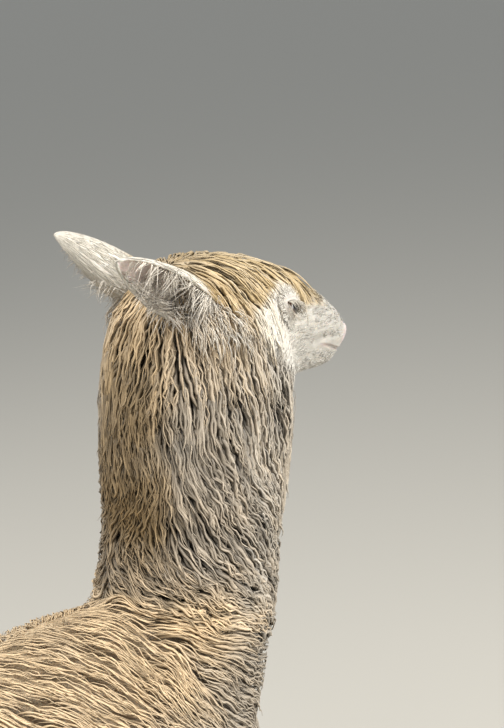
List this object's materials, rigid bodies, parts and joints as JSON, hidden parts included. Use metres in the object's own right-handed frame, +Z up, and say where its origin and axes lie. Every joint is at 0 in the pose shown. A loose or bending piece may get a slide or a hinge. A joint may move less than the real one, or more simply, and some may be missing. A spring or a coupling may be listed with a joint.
{
  "type": "alpaca statue",
  "caption": "Life-size young suri alpaca standing still, with upright neck, laid-back ears and long hanging fleece.",
  "frame": {"origin": "on the floor, under the middle of the bounding box", "axes": "+Z up, the animal faces -Y and its left side is +X"},
  "size_m": [0.3206, 0.9504, 1.1097],
  "materials": {
    "fleece": "long wavy fawn fleece",
    "white_hair": "short off-white hair",
    "eye": "wet and dark",
    "horn": "dull dark horn"
  },
  "bodies": {
    "root": {"trunk": "fleece", "neck": "fleece", "head": "white_hair", "tail": "fleece", "ear_l": "white_hair", "ear_r": "white_hair", "eye_l": "eye", "eye_r": "eye", "leg_front_l": "fleece", "leg_front_r": "fleece", "leg_hind_l": "fleece", "leg_hind_r": "fleece", "nail_front_l_inner": "horn", "nail_front_l_outer": "horn", "nail_front_r_inner": "horn", "nail_front_r_outer": "horn", "nail_hind_l_inner": "horn", "nail_hind_l_outer": "horn", "nail_hind_r_inner": "horn", "nail_hind_r_outer": "horn"}
  },
  "joints": []
}
